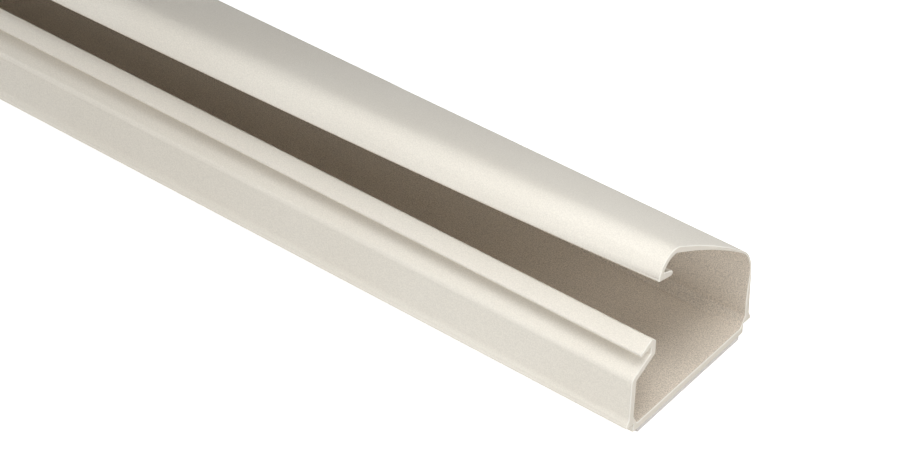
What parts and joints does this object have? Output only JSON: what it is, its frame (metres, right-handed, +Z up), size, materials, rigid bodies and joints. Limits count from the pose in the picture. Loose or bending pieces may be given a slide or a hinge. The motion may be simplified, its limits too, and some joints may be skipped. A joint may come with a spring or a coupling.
{
  "type": "cord cover raceway",
  "caption": "Self-adhesive cord cover raceway: a long ivory plastic channel with a hinged snap-shut lid standing open, on a strip of mounting tape.",
  "frame": {"origin": "middle of the underside of the mounting tape, at half the length", "axes": "+X along the raceway, -Y to the open front where cords go in, +Y to the hinged rear wall, +Z up and away from the surface it is stuck to"},
  "size_m": [0.4, 0.0322, 0.0302],
  "materials": {
    "ivory_plastic": "fine-grained satin extruded vinyl",
    "foam_tape": "matte foam, adhesive on both faces"
  },
  "bodies": {
    "root": {"raceway_channel": "ivory_plastic", "mounting_tape": "foam_tape"}
  },
  "joints": []
}
